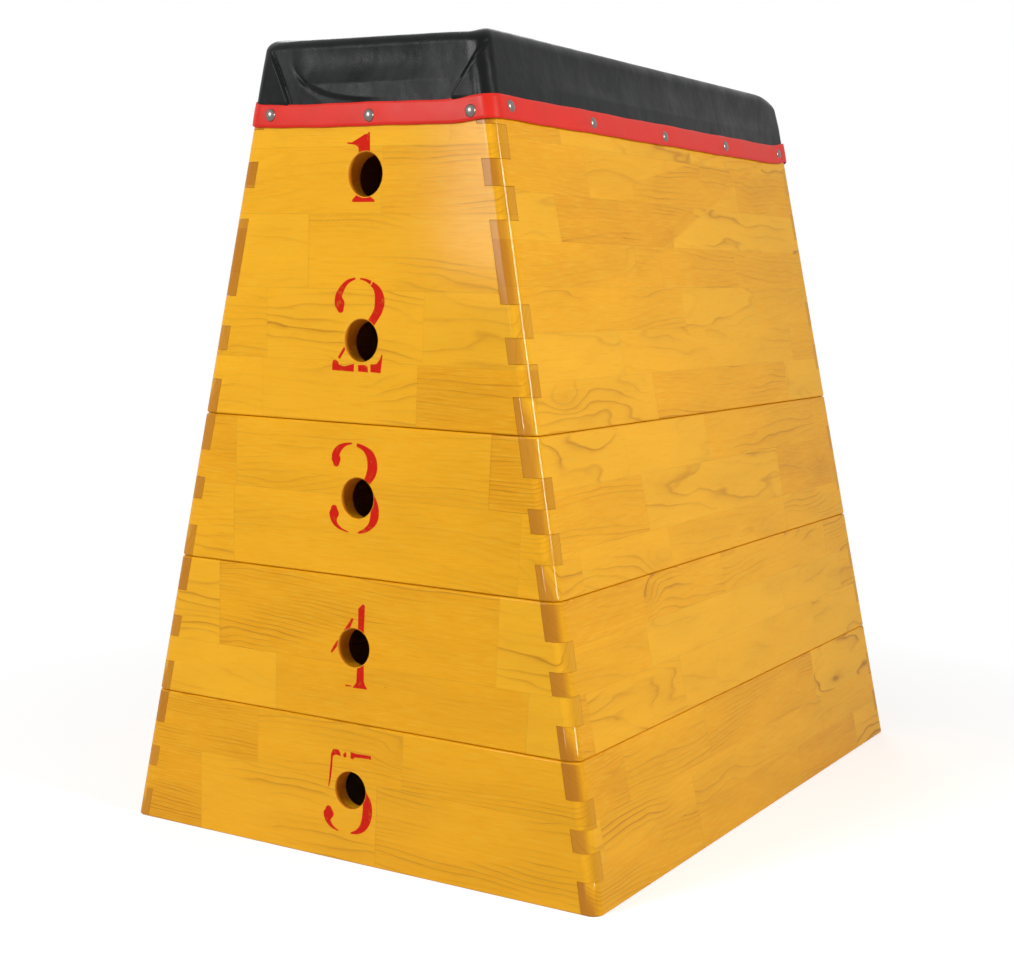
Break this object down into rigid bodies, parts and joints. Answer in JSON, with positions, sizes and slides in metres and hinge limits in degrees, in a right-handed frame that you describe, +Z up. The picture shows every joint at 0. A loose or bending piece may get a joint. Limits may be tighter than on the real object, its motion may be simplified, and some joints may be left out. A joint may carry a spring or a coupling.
{
  "type": "vaulting box",
  "caption": "Tapered wooden vaulting box: finger-jointed loose tiers that stack under a padded top section, with round hand holes in both ends.",
  "frame": {"origin": "middle of the outline that the lowest tier leaves on the floor, at floor level", "axes": "+Z up; the front end board faces -Y and the back end board +Y; the long sides face +X and -X"},
  "size_m": [0.6144, 0.8246, 0.805],
  "materials": {
    "lacquered_wood": "glossy amber lacquer on edge-glued staves",
    "plain_wood": "planed, thin lacquer",
    "plywood": "sanded plywood",
    "foam": "open-cell foam",
    "black_vinyl": "satin grained vinyl",
    "red_vinyl": "smooth satin vinyl",
    "chromed_steel": "polished dome"
  },
  "bodies": {
    "tier_5": {"tier_5_front_board": "lacquered_wood", "tier_5_back_board": "lacquered_wood", "tier_5_left_board": "lacquered_wood", "tier_5_right_board": "lacquered_wood", "tier_5_post_front_left": "plain_wood", "tier_5_post_front_right": "plain_wood", "tier_5_post_back_left": "plain_wood", "tier_5_post_back_right": "plain_wood"},
    "tier_4": {"tier_4_front_board": "lacquered_wood", "tier_4_back_board": "lacquered_wood", "tier_4_left_board": "lacquered_wood", "tier_4_right_board": "lacquered_wood", "tier_4_post_front_left": "plain_wood", "tier_4_post_front_right": "plain_wood", "tier_4_post_back_left": "plain_wood", "tier_4_post_back_right": "plain_wood"},
    "tier_3": {"tier_3_front_board": "lacquered_wood", "tier_3_back_board": "lacquered_wood", "tier_3_left_board": "lacquered_wood", "tier_3_right_board": "lacquered_wood", "tier_3_post_front_left": "plain_wood", "tier_3_post_front_right": "plain_wood", "tier_3_post_back_left": "plain_wood", "tier_3_post_back_right": "plain_wood"},
    "top_section": {"top_front_board": "lacquered_wood", "top_back_board": "lacquered_wood", "top_left_board": "lacquered_wood", "top_right_board": "lacquered_wood", "top_post_front_left": "plain_wood", "top_post_front_right": "plain_wood", "top_post_back_left": "plain_wood", "top_post_back_right": "plain_wood", "deck_panel": "plywood", "deck_cleat_left": "plain_wood", "deck_cleat_right": "plain_wood", "deck_cleat_front": "plain_wood", "deck_cleat_back": "plain_wood", "pad_foam": "foam", "pad_cover": "black_vinyl", "edge_band": "red_vinyl", "tack_front_1": "chromed_steel", "tack_front_2": "chromed_steel", "tack_front_3": "chromed_steel", "tack_back_1": "chromed_steel", "tack_back_2": "chromed_steel", "tack_back_3": "chromed_steel", "tack_right_1": "chromed_steel", "tack_right_2": "chromed_steel", "tack_right_3": "chromed_steel", "tack_right_4": "chromed_steel", "tack_right_5": "chromed_steel", "tack_left_1": "chromed_steel", "tack_left_2": "chromed_steel", "tack_left_3": "chromed_steel", "tack_left_4": "chromed_steel", "tack_left_5": "chromed_steel"}
  },
  "joints": [
    {"name": "tier_4_lift", "type": "slide", "parent": "tier_5", "child": "tier_4", "axis": [0, 0, 1], "range_m": [0, 0.12]},
    {"name": "tier_3_lift", "type": "slide", "parent": "tier_4", "child": "tier_3", "axis": [0, 0, 1], "range_m": [0, 0.12]},
    {"name": "top_lift", "type": "slide", "parent": "tier_3", "child": "top_section", "axis": [0, 0, 1], "range_m": [0, 0.12]}
  ]
}
